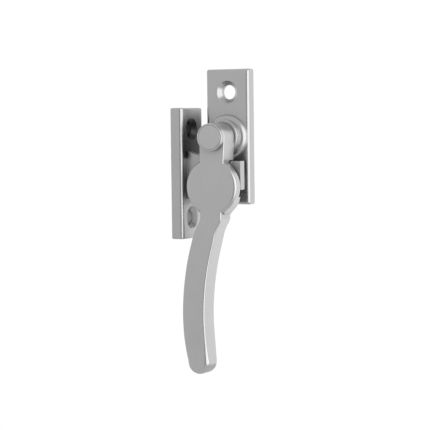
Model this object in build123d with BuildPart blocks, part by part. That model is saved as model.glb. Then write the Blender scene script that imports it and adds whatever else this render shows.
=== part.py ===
"""Cockspur window handle: a screwed backplate with a turning lever handle, and the hook plate it closes onto.

Frame: origin on the pivot axis at the backplate's back plane, +Z up, the room side towards -Y,
the hook plate on the -X side. Millimetres.
"""

import math
import os

from build123d import *

os.makedirs("parts", exist_ok=True)

# ---------------------------------------------------------------- driving dimensions
# backplate
PLATE_W = 19.8
PLATE_H = 55.6
PLATE_T = 4.6
PLATE_EDGE_R = 1.4
PLATE_CORNER_R = 0.9
POCKET_DEPTH = 1.5          # hollow back of the casting
POCKET_WALL = 2.2
SCREW_SPACING = 36.6
SCREW_HOLE_D = 5.9
SCREW_CSK_D = 9.4
SCREW_CSK_DEG = 90
BOSS_R = 7.1
BOSS_FRONT_Y = -9.2
BOSS_ROOT_R = 9.2           # where the concave fillet meets the plate
BUSH_R = 4.6
REAR_BORE_R = 6.3
REAR_BORE_Y = -4.3

# handle
HANDLE_FRONT_Y = -18.4
HANDLE_BACK_Y = -9.5
REST_TILT = 1.7             # the handle hangs this many degrees towards the hook plate
HUB_R = 5.8
NECK_HALF_TOP = 5.75
NECK_HALF_LOW = 5.5
SHOULDER_Z = -9.3           # underside of the full-depth neck, behind the disc
DISC_X = -0.1
DISC_Z = -20.15
DISC_FLAT_R = 10.3
DISC_R = 11.55
DISC_FRONT_EDGE_R = 1.2
DISC_REAR_EDGE_R = 2.2
DISC_BACK_Y = -12.95
RAMP_TOP_Z = -24.0          # recess floor ends and the ramp to full depth begins
RAMP_END_Z = -31.4
GUSSET_TOP = (7.6, -28.1)    # gusset between the disc's rear rim and the lever, right half of its outline
GUSSET_MID = (5.9, -30.4)
GUSSET_END = (4.2, -32.1)
GUSSET_FRONT_Y = -17.25
GUSSET_BACK_Y = -10.3
LEVER_EDGE_R = 0.65
LEVER_TIP_FRONT_R = 2.0
LEVER_TIP_REAR_R = 1.6
STUB_TOP_Z = -23.9          # straight start of the lever, from behind the disc to its first station
# lever stations down to the tip: (z, x of the centre line, horizontal width)
LEVER_LINE = [
    (-32.2, -0.15, 9.70), (-33.5, -0.24, 9.74), (-34.9, -0.82, 9.66), (-36.5, -1.66, 9.58), (-38.4, -2.50, 9.70),
    (-40.7, -3.21, 9.92), (-43.5, -3.93, 10.10), (-47.0, -4.78, 10.16), (-51.0, -5.62, 10.17), (-55.5, -6.36, 10.15),
    (-60.0, -6.90, 10.15), (-64.5, -7.24, 10.15), (-69.0, -7.42, 10.15), (-73.5, -7.37, 10.15), (-78.0, -7.08, 10.15),
    (-82.0, -6.67, 10.14), (-85.2, -6.25, 10.12), (-87.9, -5.86, 10.08), (-90.2, -5.49, 10.05),
]
TIP_CENTRE = (-5.15, -92.15)
TIP_ROUND_Z = -80.0         # the lever's edges soften from here to the tip
TIP_HALF_W = 5.0
SINK_Z = -33.1
SINK_R = 2.0
SINK_DEPTH = 0.08
TIP_DIR_DEG = 9.0           # direction of the lever at its tip, leaning towards +X

# pivot
PIN_R = 3.5
KNOB_R = 5.65
KNOB_FRONT_Y = -20.55
KNOB_EDGE_R = 0.35
KNOB_GROOVE_R = 4.98        # fine turned groove that sets off the head's rim
KNOB_GROOVE_HALF_W = 0.20
KNOB_GROOVE_DEPTH = 0.18

# hook plate
HOOK_FACE_X = -14.66        # broad face, towards the handle
HOOK_BACK_X = -19.86        # face screwed to the window frame
HOOK_DEPTH = 16.8
HOOK_H = 53.9
HOOK_Z = -14.85
HOOK_SPACING = 36.4
HOOK_HOLE_Y = -8.8
HOOK_EDGE_R = 1.5          # between the front and the broad face
HOOK_END_R = 0.7           # top and bottom of the broad face
TONGUE_FRONT_Y = -12.65
TONGUE_BACK_Y = -9.35
TONGUE_TIP_X = 10.05
TONGUE_Z = -15.55
TONGUE_HALF_H = 5.8
TONGUE_FLARE_X = 6.0        # the outline starts to widen here, towards the root
TONGUE_FLARE_R = 54.0
SCOOP_R = 11.4              # relief under the neck, concentric with the pivot

T = math.radians(REST_TILT)


def H(x, y, z):
    """Point of the handle's own upright frame, placed at its rest tilt."""
    return (x * math.cos(T) + z * math.sin(T), y, -x * math.sin(T) + z * math.cos(T))


def handle_plane(y, x=0.0, z=0.0):
    """Plane across the handle facing the room, local x to the right, local y up."""
    return Plane(origin=H(x, y, z), x_dir=(math.cos(T), 0, -math.sin(T)), z_dir=(0, -1, 0))


def handle_side_plane(x=0.0):
    """Plane along the handle seen from its right side, local x to the back (+Y), local y up."""
    return Plane(origin=H(x, 0, 0), x_dir=(0, 1, 0), z_dir=(math.cos(T), 0, -math.sin(T)))


def front_plane(y):
    return Plane(origin=(0, y, 0), x_dir=(1, 0, 0), z_dir=(0, -1, 0))


# half-plane for turned parts on the pivot axis: local x is the radius, local y is +Y
TURN = Plane(origin=(0, 0, 0), x_dir=(1, 0, 0), z_dir=(0, 0, 1))
PIVOT_AXIS = Axis((0, 0, 0), (0, 1, 0))

# ---------------------------------------------------------------- backplate casting
with BuildPart() as backplate:
    with BuildSketch(front_plane(0)):
        RectangleRounded(PLATE_W, PLATE_H, PLATE_CORNER_R)
    extrude(amount=PLATE_T)
    fillet(backplate.faces().sort_by(Axis.Y)[0].edges(), radius=PLATE_EDGE_R)
    # boss with a concave foot
    with BuildSketch(TURN):
        with BuildLine():
            Line((0, -3.0), (0, BOSS_FRONT_Y))
            Line((0, BOSS_FRONT_Y), (BOSS_R - 0.6, BOSS_FRONT_Y))
            RadiusArc((BOSS_R - 0.6, BOSS_FRONT_Y), (BOSS_R, BOSS_FRONT_Y + 0.6), 0.6, short_sagitta=True)
            Line((BOSS_R, BOSS_FRONT_Y + 0.6), (BOSS_R + 0.1, -6.7))
            RadiusArc((BOSS_R + 0.1, -6.7), (BOSS_ROOT_R, -PLATE_T), -2.1, short_sagitta=True)
            Line((BOSS_ROOT_R, -PLATE_T), (BOSS_ROOT_R, -3.0))
            Line((BOSS_ROOT_R, -3.0), (0, -3.0))
        make_face()
    revolve(axis=PIVOT_AXIS)
    # hollow back, with a solid ring left around the pivot bore
    with BuildSketch(front_plane(0)):
        RectangleRounded(PLATE_W - 2 * POCKET_WALL, PLATE_H - 2 * POCKET_WALL, 1.0)
        Circle(REAR_BORE_R + 1.1, mode=Mode.SUBTRACT)
    extrude(amount=POCKET_DEPTH, mode=Mode.SUBTRACT)
    # rear bore for the washers, then the bush seat
    with BuildSketch(front_plane(0)):
        Circle(REAR_BORE_R)
    extrude(amount=-REAR_BORE_Y, mode=Mode.SUBTRACT)
    with BuildSketch(front_plane(0)):
        Circle(BUSH_R)
    extrude(amount=12, mode=Mode.SUBTRACT)
    # countersunk screw holes
    with Locations(
        Location(front_plane(-PLATE_T) * Location((0, SCREW_SPACING / 2, 0))),
        Location(front_plane(-PLATE_T) * Location((0, -SCREW_SPACING / 2, 0))),
    ):
        CounterSinkHole(radius=SCREW_HOLE_D / 2, counter_sink_radius=SCREW_CSK_D / 2, counter_sink_angle=SCREW_CSK_DEG)
backplate.part.label = "backplate"

# ---------------------------------------------------------------- pivot bush, pressed into the boss
with BuildPart() as pivot_bush:
    with BuildSketch(front_plane(REAR_BORE_Y)):
        Circle(BUSH_R)
        Circle(PIN_R + 0.06, mode=Mode.SUBTRACT)
    extrude(amount=REAR_BORE_Y - BOSS_FRONT_Y)
    chamfer(pivot_bush.edges().filter_by(GeomType.CIRCLE).sort_by(SortBy.RADIUS)[0:2], length=0.3)
pivot_bush.part.label = "pivot_bush"

# ---------------------------------------------------------------- thrust washer between boss and handle
with BuildPart() as thrust_washer:
    with BuildSketch(front_plane(BOSS_FRONT_Y)):
        Circle(6.3)
        Circle(PIN_R + 0.3, mode=Mode.SUBTRACT)
    extrude(amount=0.2)
thrust_washer.part.label = "thrust_washer"

# ---------------------------------------------------------------- disc spring behind the boss
with BuildPart() as spring_washer:
    with BuildSketch(TURN):
        with BuildLine():
            Polyline(
                (PIN_R + 0.35, REAR_BORE_Y + 0.55),
                (PIN_R + 0.35, REAR_BORE_Y + 0.95),
                (REAR_BORE_R - 0.3, REAR_BORE_Y + 0.4),
                (REAR_BORE_R - 0.3, REAR_BORE_Y),
                (PIN_R + 0.35, REAR_BORE_Y + 0.55),
            )
        make_face()
    revolve(axis=PIVOT_AXIS)
spring_washer.part.label = "spring_washer"

# ---------------------------------------------------------------- washer under the riveted tail
with BuildPart() as rear_washer:
    with BuildSketch(front_plane(REAR_BORE_Y + 1.95)):
        Circle(REAR_BORE_R - 0.4)
        Circle(PIN_R, mode=Mode.SUBTRACT)
    extrude(amount=0.9)
    chamfer(rear_washer.edges().filter_by(GeomType.CIRCLE).sort_by(SortBy.RADIUS)[-2:], length=0.15)
rear_washer.part.label = "rear_washer"

# ---------------------------------------------------------------- handle casting
# neck blank: hub and neck as one flat bar, edges softened
with BuildPart() as neck_blank:
    with BuildSketch(handle_plane(HANDLE_BACK_Y)):
        Circle(HUB_R)
        with BuildLine():
            Polyline(
                (-HUB_R * 0.999, 0), (-NECK_HALF_LOW - 0.05, SHOULDER_Z), (-NECK_HALF_LOW, -14.5),
                (NECK_HALF_LOW - 0.1, -14.5), (NECK_HALF_LOW - 0.05, SHOULDER_Z), (HUB_R * 0.999, 0),
                (-HUB_R * 0.999, 0),
            )
        make_face()
    extrude(amount=HANDLE_BACK_Y - HANDLE_FRONT_Y)
    fillet(neck_blank.faces().sort_by(Axis.Y)[0].edges(), radius=0.55)


def lever_section(half_w, front_r, rear_r):
    """Rounded-rectangle outline of the lever, local x across and local y to the back."""
    f = (HANDLE_FRONT_Y - HANDLE_BACK_Y) / 2
    b = -f
    a = 1 - math.sqrt(0.5)
    w = half_w
    Line((-w + front_r, f), (w - front_r, f))
    ThreePointArc((w - front_r, f), (w - a * front_r, f + a * front_r), (w, f + front_r))
    Line((w, f + front_r), (w, b - rear_r))
    ThreePointArc((w, b - rear_r), (w - a * rear_r, b - a * rear_r), (w - rear_r, b))
    Line((w - rear_r, b), (-w + rear_r, b))
    ThreePointArc((-w + rear_r, b), (-w + a * rear_r, b - a * rear_r), (-w, b - rear_r))
    Line((-w, b - rear_r), (-w, f + front_r))
    ThreePointArc((-w, f + front_r), (-w + a * front_r, f + a * front_r), (-w + front_r, f))


MID_Y = (HANDLE_FRONT_Y + HANDLE_BACK_Y) / 2

# the straight start, same section as the first station
with BuildPart() as stub:
    stub_z, stub_x, stub_w = LEVER_LINE[0]
    with BuildSketch(
        Plane(
            origin=H(stub_x, MID_Y, stub_z), x_dir=(math.cos(T), 0, -math.sin(T)), z_dir=(math.sin(T), 0, math.cos(T))
        )
    ):
        with BuildLine():
            lever_section(stub_w / 2, LEVER_EDGE_R, LEVER_EDGE_R)
        make_face()
    extrude(amount=STUB_TOP_Z - stub_z)

with BuildPart() as lever_bar:
    for zs, xs, ws in LEVER_LINE:
        grow = max(0.0, min(1.0, (TIP_ROUND_Z - zs) / (TIP_ROUND_Z - TIP_CENTRE[1])))
        fr = LEVER_EDGE_R + (LEVER_TIP_FRONT_R - LEVER_EDGE_R) * grow * grow
        rr = LEVER_EDGE_R + (LEVER_TIP_REAR_R - LEVER_EDGE_R) * grow * grow
        with BuildSketch(
            Plane(origin=H(xs, MID_Y, zs), x_dir=(math.cos(T), 0, -math.sin(T)), z_dir=(math.sin(T), 0, math.cos(T)))
        ):
            with BuildLine():
                lever_section(ws / 2, fr, rr)
            make_face()
    tip_t = T - math.radians(TIP_DIR_DEG)
    with BuildSketch(
        Plane(
            origin=H(TIP_CENTRE[0], MID_Y, TIP_CENTRE[1]),
            x_dir=(math.cos(tip_t), 0, -math.sin(tip_t)),
            z_dir=(math.sin(tip_t), 0, math.cos(tip_t)),
        )
    ):
        with BuildLine():
            lever_section(TIP_HALF_W, LEVER_TIP_FRONT_R, LEVER_TIP_REAR_R)
        make_face()
    loft()

with BuildPart() as lever_tip:
    with BuildSketch(Plane(origin=H(TIP_CENTRE[0], 0, TIP_CENTRE[1]), x_dir=(1, 0, 0), z_dir=(0, 0, 1))):
        with BuildLine():
            w = TIP_HALF_W
            fr, rr = LEVER_TIP_FRONT_R, LEVER_TIP_REAR_R
            a = 1 - math.sqrt(0.5)
            Line((0, HANDLE_BACK_Y), (0, HANDLE_FRONT_Y))
            Line((0, HANDLE_FRONT_Y), (w - fr, HANDLE_FRONT_Y))
            ThreePointArc((w - fr, HANDLE_FRONT_Y), (w - a * fr, HANDLE_FRONT_Y + a * fr), (w, HANDLE_FRONT_Y + fr))
            Line((w, HANDLE_FRONT_Y + fr), (w, HANDLE_BACK_Y - rr))
            ThreePointArc((w, HANDLE_BACK_Y - rr), (w - a * rr, HANDLE_BACK_Y - a * rr), (w - rr, HANDLE_BACK_Y))
            Line((w - rr, HANDLE_BACK_Y), (0, HANDLE_BACK_Y))
        make_face()
    tip_p = H(TIP_CENTRE[0], 0, TIP_CENTRE[1])
    revolve(axis=Axis(tip_p, (0, 1, 0)))

# disc: turned form with a softly rounded front edge and a rounder rear edge
disc_p = H(DISC_X, 0, DISC_Z)
with BuildPart() as disc:
    with BuildSketch(Plane(origin=disc_p, x_dir=(1, 0, 0), z_dir=(0, 0, 1))):
        with BuildLine():
            a = 1 - math.sqrt(0.5)
            fr, rr = DISC_FRONT_EDGE_R, DISC_REAR_EDGE_R
            Line((0, DISC_BACK_Y), (0, HANDLE_FRONT_Y))
            Line((0, HANDLE_FRONT_Y), (DISC_R - fr, HANDLE_FRONT_Y))
            ThreePointArc(
                (DISC_R - fr, HANDLE_FRONT_Y),
                (DISC_R - a * fr, HANDLE_FRONT_Y + a * fr),
                (DISC_R, HANDLE_FRONT_Y + fr),
            )
            Line((DISC_R, HANDLE_FRONT_Y + fr), (DISC_R, DISC_BACK_Y - rr))
            ThreePointArc((DISC_R, DISC_BACK_Y - rr), (DISC_R - a * rr, DISC_BACK_Y - a * rr), (DISC_R - rr, DISC_BACK_Y))
            Line((DISC_R - rr, DISC_BACK_Y), (0, DISC_BACK_Y))
        make_face()
    revolve(axis=Axis(disc_p, (0, 1, 0)))

# web: the ramp that carries the disc back to the lever's full depth
with BuildPart() as ramp_web:
    with BuildSketch(handle_plane(HANDLE_BACK_Y, DISC_X, DISC_Z)):
        Circle(DISC_R - 0.1)
    extrude(amount=8.2)
    with BuildSketch(handle_plane(GUSSET_BACK_Y, LEVER_LINE[0][1])):
        with BuildLine():
            gt, gm, ge = GUSSET_TOP, GUSSET_MID, GUSSET_END
            Line((gt[0], DISC_Z), gt)
            ThreePointArc(gt, gm, ge)
            Line(ge, (-ge[0], ge[1]))
            ThreePointArc((-ge[0], ge[1]), (-gm[0], gm[1]), (-gt[0], gt[1]))
            Polyline((-gt[0], gt[1]), (-gt[0], DISC_Z), (gt[0], DISC_Z))
        make_face()
    extrude(amount=7.4)
    with BuildSketch(handle_side_plane(0)):
        with BuildLine():
            Polyline(
                (DISC_BACK_Y - 0.01, RAMP_TOP_Z), (HANDLE_BACK_Y, RAMP_END_Z), (HANDLE_BACK_Y, -32.5),
                (-13.6, -32.5), (GUSSET_FRONT_Y, -30.3), (GUSSET_FRONT_Y, RAMP_TOP_Z), (DISC_BACK_Y - 0.01, RAMP_TOP_Z),
            )
        make_face()
    extrude(amount=14, both=True, mode=Mode.INTERSECT)

with BuildPart() as handle:
    add(neck_blank.part)
    add(stub.part)
    # recess across the back for the hook plate's tongue
    with BuildSketch(handle_side_plane(0)):
        with BuildLine():
            Polyline(
                (DISC_BACK_Y, SHOULDER_Z), (DISC_BACK_Y, RAMP_TOP_Z), (HANDLE_BACK_Y, RAMP_END_Z),
                (HANDLE_BACK_Y + 1, RAMP_END_Z), (HANDLE_BACK_Y + 1, SHOULDER_Z), (DISC_BACK_Y, SHOULDER_Z),
            )
        make_face()
    extrude(amount=14, both=True, mode=Mode.SUBTRACT)
    add(disc.part)
    add(ramp_web.part)
    add(lever_bar.part)
    add(lever_tip.part)
    # shallow sink mark across the front where the lever leaves the stub, fading to the right
    with BuildSketch(
        Plane(
            origin=H(-6.0, HANDLE_FRONT_Y - SINK_R + SINK_DEPTH, SINK_Z),
            x_dir=(0, 1, 0),
            z_dir=(5.0 * math.cos(T), -SINK_DEPTH, -5.0 * math.sin(T)),
        )
    ):
        Circle(SINK_R)
    extrude(amount=6.5, mode=Mode.SUBTRACT)
    # pivot bore
    with BuildSketch(handle_plane(HANDLE_BACK_Y)):
        Circle(PIN_R)
    extrude(amount=12, mode=Mode.SUBTRACT)
handle.part.label = "handle"

# ---------------------------------------------------------------- pivot pin: button head, shank, riveted tail
with BuildPart() as pivot_pin:
    tail_y = REAR_BORE_Y + 1.95
    with BuildSketch(TURN):
        with BuildLine():
            e, gr, gw, gd = KNOB_EDGE_R, KNOB_GROOVE_R, KNOB_GROOVE_HALF_W, KNOB_GROOVE_DEPTH
            a = 1 - math.sqrt(0.5)
            edge_y = KNOB_FRONT_Y + e
            Line((0, tail_y + 0.8), (0, KNOB_FRONT_Y))
            Line((0, KNOB_FRONT_Y), (gr - gw, KNOB_FRONT_Y))
            ThreePointArc((gr - gw, KNOB_FRONT_Y), (gr, KNOB_FRONT_Y + gd), (gr + gw, KNOB_FRONT_Y))
            Line((gr + gw, KNOB_FRONT_Y), (KNOB_R - e, KNOB_FRONT_Y))
            ThreePointArc((KNOB_R - e, KNOB_FRONT_Y), (KNOB_R - a * e, KNOB_FRONT_Y + a * e), (KNOB_R, edge_y))
            Line((KNOB_R, edge_y), (KNOB_R, HANDLE_FRONT_Y))
            Line((KNOB_R, HANDLE_FRONT_Y), (PIN_R, HANDLE_FRONT_Y))
            Line((PIN_R, HANDLE_FRONT_Y), (PIN_R, tail_y))
            Line((PIN_R, tail_y), (4.5, tail_y))
            ThreePointArc((4.5, tail_y), (4.2, tail_y + 0.55), (3.5, tail_y + 0.8))
            Line((3.5, tail_y + 0.8), (0, tail_y + 0.8))
        make_face()
    revolve(axis=PIVOT_AXIS)
pivot_pin.part.label = "pivot_pin"

# ---------------------------------------------------------------- hook plate casting
hook_t = HOOK_FACE_X - HOOK_BACK_X
# plane on the screwed face, looking along +X: local x is +Y, local y is +Z
HOOK_PLANE = Plane(origin=(HOOK_BACK_X, 0, HOOK_Z), x_dir=(0, 1, 0), z_dir=(1, 0, 0))
with BuildPart() as hook_plate:
    with BuildSketch(HOOK_PLANE):
        with Locations((-HOOK_DEPTH / 2, 0)):
            Rectangle(HOOK_DEPTH, HOOK_H)
    extrude(amount=hook_t)
    # softened outline of the broad face, and the front edge of the screwed face
    fillet(hook_plate.faces().sort_by(Axis.X)[-1].edges().sort_by(Axis.Y)[0], radius=HOOK_EDGE_R)
    fillet(hook_plate.faces().sort_by(Axis.Z)[-1].edges(), radius=HOOK_END_R)
    fillet(hook_plate.faces().sort_by(Axis.Z)[0].edges(), radius=HOOK_END_R)
    # tongue, widening to its root in one sweep
    with BuildSketch(front_plane(TONGUE_BACK_Y)):
        with BuildLine():
            hh = TONGUE_HALF_H
            root_x = HOOK_FACE_X - 1.5
            dx = TONGUE_FLARE_X - root_x
            rise = TONGUE_FLARE_R - math.sqrt(TONGUE_FLARE_R**2 - dx**2)
            mx = TONGUE_FLARE_X - dx / 2
            mr = TONGUE_FLARE_R - math.sqrt(TONGUE_FLARE_R**2 - (dx / 2) ** 2)
            zc = TONGUE_Z
            Line((TONGUE_TIP_X, zc - hh), (TONGUE_TIP_X, zc + hh))
            Line((TONGUE_TIP_X, zc + hh), (TONGUE_FLARE_X, zc + hh))
            ThreePointArc((TONGUE_FLARE_X, zc + hh), (mx, zc + hh + mr), (root_x, zc + hh + rise))
            Line((root_x, zc + hh + rise), (root_x, zc - hh - rise))
            ThreePointArc((root_x, zc - hh - rise), (mx, zc - hh - mr), (TONGUE_FLARE_X, zc - hh))
            Line((TONGUE_FLARE_X, zc - hh), (TONGUE_TIP_X, zc - hh))
        make_face()
    extrude(amount=TONGUE_BACK_Y - TONGUE_FRONT_Y)
    # relief concentric with the pivot, so the neck swings clear
    with BuildSketch(front_plane(TONGUE_BACK_Y + 0.5)):
        Circle(SCOOP_R)
    extrude(amount=5, mode=Mode.SUBTRACT)
    with Locations(
        Location(Plane(origin=(HOOK_FACE_X, HOOK_HOLE_Y, HOOK_Z + HOOK_SPACING / 2), x_dir=(0, 1, 0), z_dir=(1, 0, 0))),
        Location(Plane(origin=(HOOK_FACE_X, HOOK_HOLE_Y, HOOK_Z - HOOK_SPACING / 2), x_dir=(0, 1, 0), z_dir=(1, 0, 0))),
    ):
        CounterSinkHole(radius=SCREW_HOLE_D / 2, counter_sink_radius=SCREW_CSK_D / 2, counter_sink_angle=SCREW_CSK_DEG)
hook_plate.part.label = "hook_plate"

# ---------------------------------------------------------------- write the pieces
for name, item in (
    ("backplate", backplate),
    ("pivot_bush", pivot_bush),
    ("thrust_washer", thrust_washer),
    ("spring_washer", spring_washer),
    ("rear_washer", rear_washer),
    ("handle", handle),
    ("pivot_pin", pivot_pin),
    ("hook_plate", hook_plate),
):
    export_step(item.part, f"parts/{name}.step")
    print(name, "solids", len(item.part.solids()), "valid", item.part.is_valid, "volume", round(item.part.volume, 1))
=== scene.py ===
"""Satin metal cockspur window handle in a plain pale studio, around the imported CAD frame."""

import math

import bpy
import bmesh
from mathutils import Matrix, Vector

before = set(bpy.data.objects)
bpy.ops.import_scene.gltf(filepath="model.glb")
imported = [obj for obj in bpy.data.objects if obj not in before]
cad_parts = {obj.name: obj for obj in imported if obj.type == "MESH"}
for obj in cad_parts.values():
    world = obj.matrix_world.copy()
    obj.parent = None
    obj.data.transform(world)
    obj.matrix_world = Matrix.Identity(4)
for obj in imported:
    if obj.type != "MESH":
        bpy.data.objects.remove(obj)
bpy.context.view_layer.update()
scene = bpy.context.scene
scene.view_settings.view_transform = "Standard"
scene.view_settings.look = "None"


# ------------------------------------------------------------------ camera
def make_camera():
    az, el, roll = math.radians(28.5), math.radians(3.2), math.radians(-0.7)
    target = Vector((-0.0059344, -0.0052730, -0.0322387))
    dist = 0.700
    d = Vector((math.sin(az) * math.cos(el), -math.cos(az) * math.cos(el), math.sin(el)))
    fwd = -d
    right = fwd.cross(Vector((0, 0, 1))).normalized()
    up = right.cross(fwd)
    r = math.cos(roll) * right + math.sin(roll) * up
    u = -math.sin(roll) * right + math.cos(roll) * up
    data = bpy.data.cameras.new("camera")
    data.lens = 141.8
    data.sensor_width = 36.0
    data.clip_start = 0.01
    data.clip_end = 20.0
    cam = bpy.data.objects.new("camera", data)
    m = Matrix((
        (r.x, u.x, d.x, 0),
        (r.y, u.y, d.y, 0),
        (r.z, u.z, d.z, 0),
        (0, 0, 0, 1),
    ))
    m.translation = target + d * dist
    cam.matrix_world = m
    scene.collection.objects.link(cam)
    scene.camera = cam


make_camera()


# ------------------------------------------------------------------ node helpers
class Graph:
    """Small helper that adds and links shader nodes."""

    def __init__(self, tree):
        self.t = tree
        self.t.nodes.clear()

    def node(self, kind, **values):
        n = self.t.nodes.new(kind)
        for k, v in values.items():
            setattr(n, k, v)
        return n

    def put(self, socket, value):
        if isinstance(value, bpy.types.NodeSocket):
            self.t.links.new(value, socket)
        else:
            socket.default_value = value

    def math(self, op, a, b=0.0, c=None, clamp=False):
        n = self.node("ShaderNodeMath", operation=op, use_clamp=clamp)
        self.put(n.inputs[0], a)
        self.put(n.inputs[1], b)
        if c is not None:
            self.put(n.inputs[2], c)
        return n.outputs[0]

    def ramp(self, value, lo, hi, out_lo, out_hi, smooth=True):
        n = self.node("ShaderNodeMapRange", interpolation_type="SMOOTHSTEP" if smooth else "LINEAR")
        self.put(n.inputs["Value"], value)
        n.inputs["From Min"].default_value = lo
        n.inputs["From Max"].default_value = hi
        n.inputs["To Min"].default_value = out_lo
        n.inputs["To Max"].default_value = out_hi
        return n.outputs["Result"]

    def noise(self, coord, scale, detail=2.0, rough=0.5, distort=0.0):
        n = self.node("ShaderNodeTexNoise")
        self.put(n.inputs["Vector"], coord)
        n.inputs["Scale"].default_value = scale
        n.inputs["Detail"].default_value = detail
        n.inputs["Roughness"].default_value = rough
        n.inputs["Distortion"].default_value = distort
        return n.outputs["Fac"]

    def scaled(self, coord, xyz):
        n = self.node("ShaderNodeMapping")
        self.put(n.inputs["Vector"], coord)
        n.inputs["Scale"].default_value = xyz
        return n.outputs["Vector"]


# ------------------------------------------------------------------ world: pale studio
def make_world():
    world = bpy.data.worlds.new("studio")
    scene.world = world
    world.use_nodes = True
    g = Graph(world.node_tree)
    coord = g.node("ShaderNodeTexCoord").outputs["Generated"]

    def lobe(az, el, inner, outer):
        """1 inside an angle of inner degrees round a direction, falling to 0 at outer degrees."""
        a, e = math.radians(az), math.radians(el)
        v = (math.sin(a) * math.cos(e), -math.cos(a) * math.cos(e), math.sin(e))
        n = g.node("ShaderNodeVectorMath", operation="DOT_PRODUCT")
        g.put(n.inputs[0], coord)
        n.inputs[1].default_value = v
        return g.ramp(n.outputs["Value"], math.cos(math.radians(outer)), math.cos(math.radians(inner)), 0.0, 1.0)

    base = 0.56
    total = base
    # direction az 0 is the room side (-Y), az 90 is +X
    for az, el, inner, outer, gain in (
        (-30, 0, 10, 44, 0.10),      # wall on the left of the camera
        (-30, -18, 4, 20, -0.10),
        (12, -4, 8, 28, -0.28),      # dark camera side
        (72, 4, 32, 46, 1.00),       # large soft box on the right
        (152, -6, 14, 46, 0.36),     # white sweep behind
        (-140, 6, 30, 75, 0.35),
        (0, 60, 20, 60, 0.08),       # pale ceiling over the camera
    ):
        total = g.math("MULTIPLY_ADD", lobe(az, el, inner, outer), gain, total)
    background = g.node("ShaderNodeBackground")
    g.put(background.inputs["Color"], (1, 1, 1, 1))
    g.put(background.inputs["Strength"], total)
    white = g.node("ShaderNodeBackground")
    white.inputs["Color"].default_value = (1, 1, 1, 1)
    white.inputs["Strength"].default_value = 1.02
    mix = g.node("ShaderNodeMixShader")
    path = g.node("ShaderNodeLightPath")
    g.put(mix.inputs["Fac"], path.outputs["Is Camera Ray"])
    g.put(mix.inputs[1], background.outputs[0])
    g.put(mix.inputs[2], white.outputs[0])
    out = g.node("ShaderNodeOutputWorld")
    g.put(out.inputs["Surface"], mix.outputs[0])


make_world()


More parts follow.
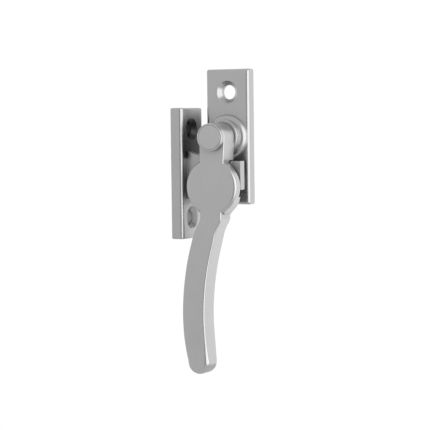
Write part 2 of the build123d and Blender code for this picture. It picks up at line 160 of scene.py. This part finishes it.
# ------------------------------------------------------------------ materials
def satin_metal(name, color=0.62, rough=0.25, grain_axis="Z", grain=1.0, edge=0.10, edge_r=0.00025,
                tint=(1.0, 1.0, 1.0), shade_power=0.8, shade_floor=0.40, shade_reach=0.006,
                occluded_rough=0.25, shade_band=0.0, fine=1.0):
    """Satin plated casting: fine brushed grain, faint cloudiness, a painted highlight lightening the edges and
    painted shade darkening the hollows.
    """
    mat = bpy.data.materials.new(name)
    mat.use_nodes = True
    g = Graph(mat.node_tree)
    obj = g.node("ShaderNodeTexCoord").outputs["Object"]
    stretch = {"Z": (1, 1, 0.035), "X": (0.035, 1, 1), "Y": (1, 0.035, 1)}[grain_axis]
    lines = g.noise(g.scaled(obj, stretch), 9000.0 * fine, 3.0, 0.6)
    lines2 = g.noise(g.scaled(obj, stretch), 3600.0 * fine, 2.0, 0.5)
    cloud = g.noise(obj, 90.0, 4.0, 0.55, 0.3)
    speck = g.noise(obj, 5200.0, 2.0, 0.7)

    bevel = g.node("ShaderNodeBevel", samples=6)
    bevel.inputs["Radius"].default_value = edge_r
    geo = g.node("ShaderNodeNewGeometry")
    dot = g.node("ShaderNodeVectorMath", operation="DOT_PRODUCT")
    g.put(dot.inputs[0], bevel.outputs["Normal"])
    g.put(dot.inputs[1], geo.outputs["Normal"])
    edge_highlight_mask = g.ramp(dot.outputs["Value"], 0.999, 0.90, 0.0, 1.0)

    # colour: plated metal, a little cloudy, with a painted highlight making it slightly lighter along the edges
    value = g.math("MULTIPLY_ADD", g.math("SUBTRACT", cloud, 0.5), 0.05, color)
    value = g.math("MULTIPLY_ADD", g.math("SUBTRACT", lines, 0.5), 0.05, value)
    # painted highlight: the edges are lightened in the colour
    value = g.math("MULTIPLY_ADD", edge_highlight_mask, edge, value)
    # painted shade: ambient occlusion darkens the colour in crevices and between parts
    crevice = g.node("ShaderNodeAmbientOcclusion", samples=12)
    crevice.inputs["Distance"].default_value = shade_reach
    if shade_band:
        # the painted shade is heaviest on the broad face level with the neck, placed by position, and is kept off
        # the tongue and front edge
        sep = g.node("ShaderNodeSeparateXYZ")
        g.put(sep.inputs[0], obj)
        low = g.ramp(sep.outputs["Z"], -0.0092, -0.0070, 0.0, 1.0)
        high = g.ramp(sep.outputs["Z"], 0.0030, 0.0135, 1.0, 0.0)
        face = g.ramp(sep.outputs["X"], -0.0146, -0.0140, 1.0, 0.0)
        behind = g.ramp(sep.outputs["Y"], -0.0160, -0.0148, 0.0, 1.0)
        band = g.math("MULTIPLY", g.math("MULTIPLY", low, high), g.math("MULTIPLY", face, behind))
        base = g.math("MULTIPLY", behind, shade_power)
        power = g.math("MULTIPLY_ADD", band, shade_band, base)
    else:
        power = shade_power
    # painted shade: the colour is darkened by the occlusion, down to a set floor
    painted_shade = g.math("POWER", crevice.outputs["AO"], power)
    painted_shade = g.math("MULTIPLY_ADD", painted_shade, 1.0 - shade_floor, shade_floor)
    value = g.math("MULTIPLY", value, painted_shade)
    rgb = g.node("ShaderNodeCombineColor")
    for i, t in enumerate(tint):
        g.put(rgb.inputs[i], g.math("MULTIPLY", value, t))

    r = g.math("MULTIPLY_ADD", g.math("SUBTRACT", lines2, 0.5), 0.10 * grain, rough)
    r = g.math("MULTIPLY_ADD", g.math("SUBTRACT", cloud, 0.5), 0.10, r)
    r = g.math("MULTIPLY_ADD", g.math("SUBTRACT", 1.0, crevice.outputs["AO"]), occluded_rough, r)
    r = g.math("MULTIPLY_ADD", edge_highlight_mask, -0.06, r, clamp=True)

    height = g.math("ADD", g.math("MULTIPLY", lines, 0.6 * grain), g.math("MULTIPLY", speck, 0.4))
    bump = g.node("ShaderNodeBump")
    bump.inputs["Strength"].default_value = 0.35
    bump.inputs["Distance"].default_value = 0.000012
    g.put(bump.inputs["Height"], height)
    g.put(bump.inputs["Normal"], bevel.outputs["Normal"])

    p = g.node("ShaderNodeBsdfPrincipled")
    p.inputs["Metallic"].default_value = 1.0
    g.put(p.inputs["Base Color"], rgb.outputs[0])
    g.put(p.inputs["Roughness"], r)
    g.put(p.inputs["Normal"], bump.outputs["Normal"])
    out = g.node("ShaderNodeOutputMaterial")
    g.put(out.inputs["Surface"], p.outputs[0])
    return mat


CASTING = satin_metal("satin_casting_look")
# the plate and hook plate take heavier painted shade; the hook plate's painted shade is banded by position
PLATE = satin_metal("satin_plate_look", color=0.585, shade_power=0.55, shade_floor=0.62, occluded_rough=0.30)
HOOK = satin_metal("satin_hook_look", color=0.58, shade_power=0.26, shade_floor=0.05, shade_reach=0.012, shade_band=4.6)
PIN = satin_metal("satin_pin_look", color=0.63, rough=0.24, grain_axis="X", fine=2.2)
BRASS = satin_metal("bush_brass_look", color=0.80, rough=0.30, grain_axis="Y", tint=(1.0, 0.80, 0.45))
STEEL = satin_metal("washer_steel_look", color=0.52, rough=0.34, grain_axis="X", tint=(1.0, 1.0, 1.02))

LOOKS = {
    "backplate": PLATE, "handle": CASTING, "hook_plate": HOOK, "pivot_pin": PIN,
    "pivot_bush": BRASS, "thrust_washer": STEEL, "spring_washer": STEEL, "rear_washer": STEEL,
}
for node, look in LOOKS.items():
    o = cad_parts[node]
    o.data.materials.clear()
    o.data.materials.append(look)


# ------------------------------------------------------------------ floor
def make_floor():
    mesh = bpy.data.meshes.new("floor")
    bm = bmesh.new()
    bmesh.ops.create_circle(bm, cap_ends=True, radius=0.22, segments=128)
    bm.to_mesh(mesh)
    bm.free()
    o = bpy.data.objects.new("floor", mesh)
    o.location = (0, 0, -0.170)
    scene.collection.objects.link(o)
    mat = bpy.data.materials.new("pale_floor")
    mat.use_nodes = True
    g = Graph(mat.node_tree)
    p = g.node("ShaderNodeBsdfPrincipled")
    p.inputs["Base Color"].default_value = (0.80, 0.80, 0.80, 1)
    p.inputs["Roughness"].default_value = 0.9
    p.inputs["Specular IOR Level"].default_value = 0.0
    p.inputs["Emission Color"].default_value = (1, 1, 1, 1)
    path = g.node("ShaderNodeLightPath")
    g.put(p.inputs["Emission Strength"], g.math("MULTIPLY", path.outputs["Is Camera Ray"], 0.60))
    out = g.node("ShaderNodeOutputMaterial")
    g.put(out.inputs["Surface"], p.outputs[0])
    mesh.materials.append(mat)


make_floor()
